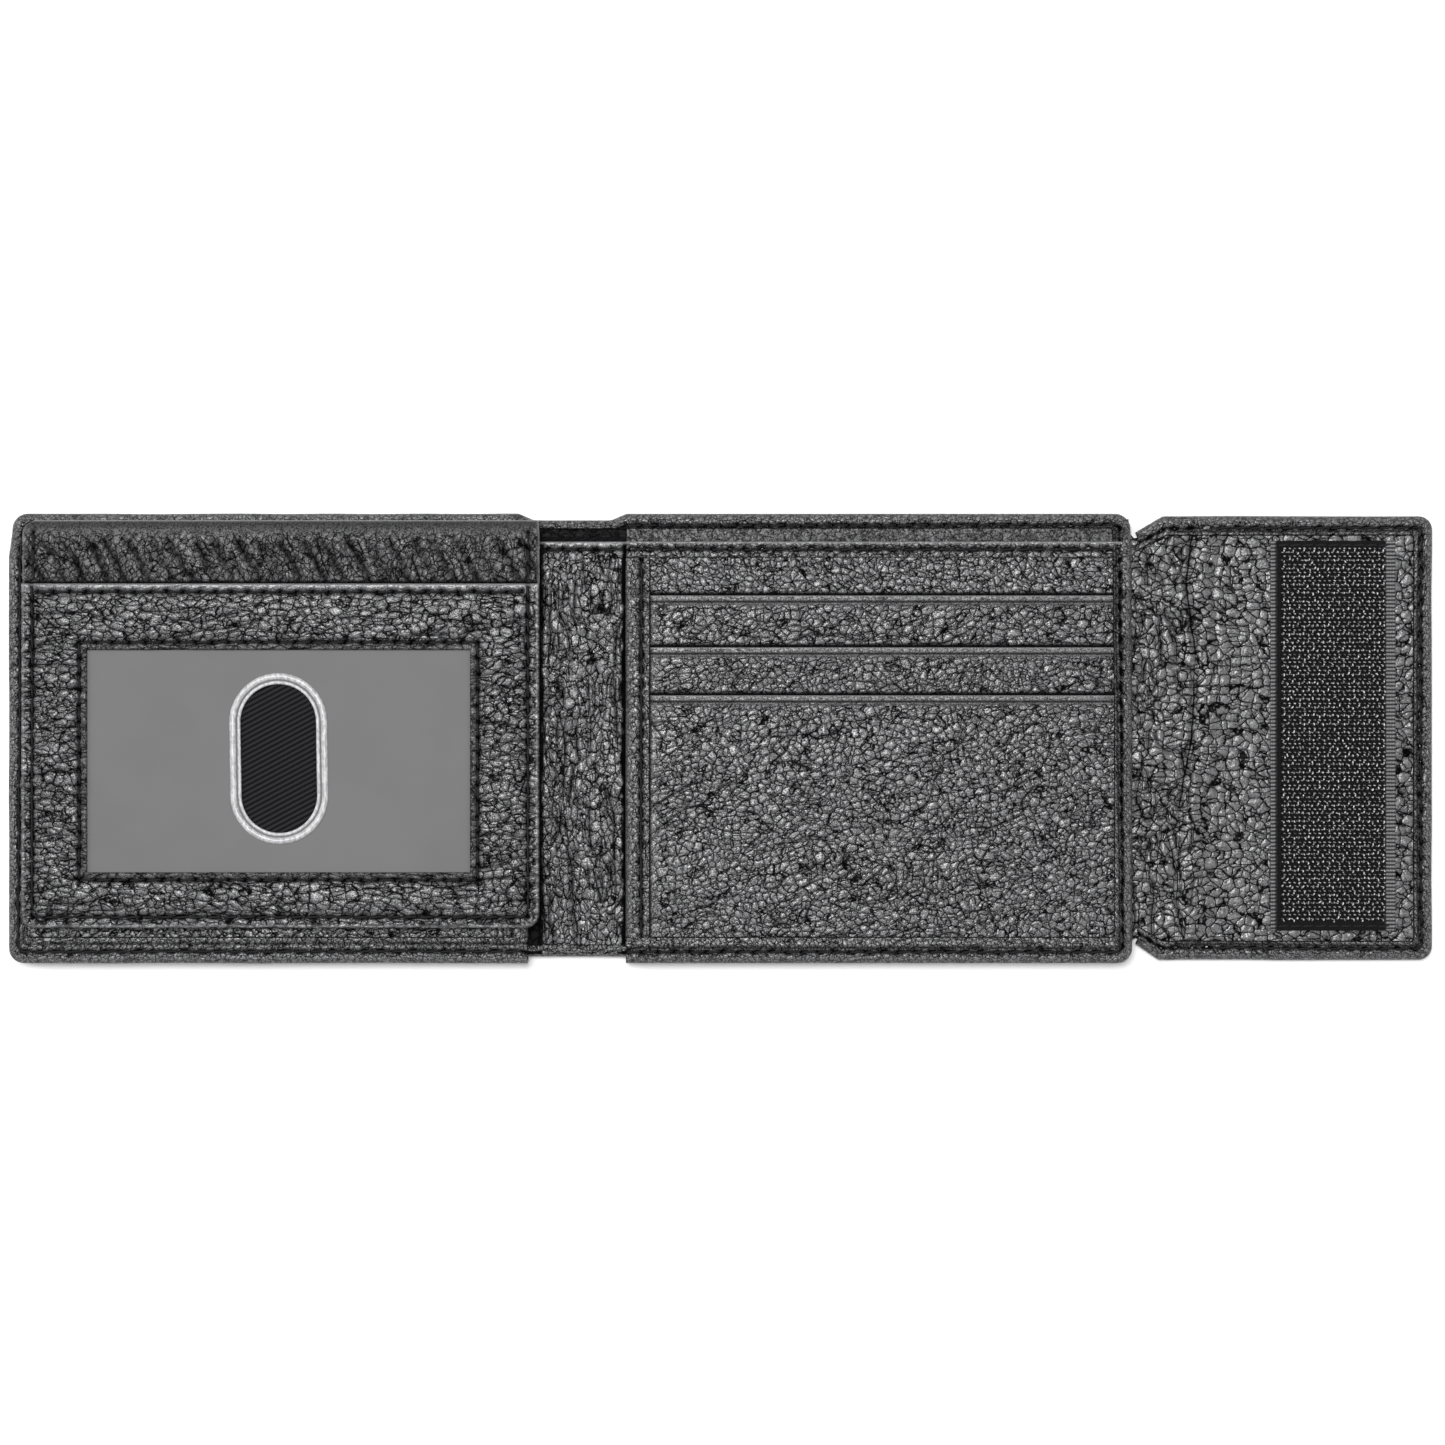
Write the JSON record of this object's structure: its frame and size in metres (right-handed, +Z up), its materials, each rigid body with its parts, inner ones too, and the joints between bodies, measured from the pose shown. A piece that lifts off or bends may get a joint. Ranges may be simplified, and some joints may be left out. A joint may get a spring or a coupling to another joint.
{
  "type": "trifold wallet",
  "caption": "Black leather trifold wallet lying open: bill compartment, card slots, lift-up ID window flap with thumb hole, and a hook and loop closing flap.",
  "frame": {"origin": "middle of the open wallet's footprint, on the surface it lies on", "axes": "+X along the open wallet towards the closing flap, +Y towards the mouth of the bill compartment, +Z up out of the open face"},
  "size_m": [0.282, 0.089, 0.0084],
  "materials": {
    "leather": "black pebbled grain, soft sheen",
    "leather_edge": "black pebbled grain, turned edge",
    "twill": "black diagonal twill",
    "thread": "black sewing thread",
    "vinyl_film": "frosted grey vinyl",
    "clear_rim": "clear welded bead",
    "hook_tape": "black woven tape",
    "hook_nylon": "black nylon hooks",
    "loop_pile": "black brushed loop pile"
  },
  "bodies": {
    "centre_panel": {"centre_cover": "leather", "centre_lining": "twill", "centre_cover_facing": "leather", "centre_top_hem": "leather_edge", "centre_front_wall": "leather", "centre_wall_top_strip": "leather_edge", "centre_slot_1_fabric": "twill", "centre_slot_1_leather": "leather", "centre_slot_2_fabric": "twill", "centre_slot_2_leather": "leather", "centre_slot_3_leather": "leather", "centre_side_strip": "leather_edge", "centre_bottom_hem": "leather_edge", "centre_right_hem": "leather_edge", "centre_cover_seam": "thread", "centre_pocket_seam": "thread"},
    "spine": {"spine_cover": "leather", "spine_lining": "twill", "spine_gusset": "leather", "spine_gusset_seam": "thread"},
    "left_panel": {"left_cover": "leather", "left_lining": "twill", "left_cover_facing": "leather", "left_top_hem": "leather_edge", "left_front_wall": "leather", "left_wall_top_strip": "leather_edge", "left_slot_1_fabric": "twill", "left_slot_1_leather": "leather", "left_slot_2_fabric": "twill", "left_slot_2_leather": "leather", "left_slot_3_leather": "leather", "left_side_strip": "leather_edge", "left_bottom_hem": "leather_edge", "left_outer_hem": "leather_edge", "left_cover_seam": "thread", "left_pocket_seam": "thread", "loop_patch": "loop_pile", "loop_patch_seam": "thread", "id_hinge_strip": "leather_edge"},
    "id_flap": {"id_flap_back": "leather", "id_flap_edge": "leather_edge", "id_flap_lining": "twill", "id_window_film": "vinyl_film", "thumb_hole_rim": "clear_rim", "id_window_frame": "leather", "id_flap_seam": "thread", "id_window_seam": "thread", "id_pocket_mouth_seam": "thread"},
    "flap_spine": {"flap_spine_cover": "leather", "flap_spine_facing": "leather", "flap_spine_top_hem": "leather_edge", "flap_spine_bottom_hem": "leather_edge"},
    "closing_flap": {"flap_cover": "leather", "flap_facing": "leather", "flap_hem": "leather_edge", "flap_seam": "thread", "hook_tape": "hook_tape", "hook_field": "hook_nylon", "hook_tape_seam": "thread"}
  },
  "joints": [
    {"name": "spine_fold", "type": "hinge", "parent": "centre_panel", "child": "spine", "pos_m": [-0.0246, 0, 0.003], "axis": [0, 1, 0], "range_deg": [0, 90]},
    {"name": "left_fold", "type": "hinge", "parent": "spine", "child": "left_panel", "pos_m": [-0.0356, 0, 0.003], "axis": [0, 1, 0], "range_deg": [0, 90]},
    {"name": "id_flap_lift", "type": "hinge", "parent": "left_panel", "child": "id_flap", "pos_m": [-0.087, 0.0428, 0.006], "axis": [-1, 0, 0], "range_deg": [0, 180]},
    {"name": "flap_spine_fold", "type": "hinge", "parent": "centre_panel", "child": "flap_spine", "pos_m": [0.0822, 0, 0.0026], "axis": [0, -1, 0], "range_deg": [0, 90]},
    {"name": "flap_fold", "type": "hinge", "parent": "flap_spine", "child": "closing_flap", "pos_m": [0.0975, 0, 0.0026], "axis": [0, -1, 0], "range_deg": [0, 90]}
  ],
  "couplings": [
    {"joint": "left_fold", "follows": "spine_fold", "ratio": 1},
    {"joint": "flap_fold", "follows": "flap_spine_fold", "ratio": 1}
  ]
}
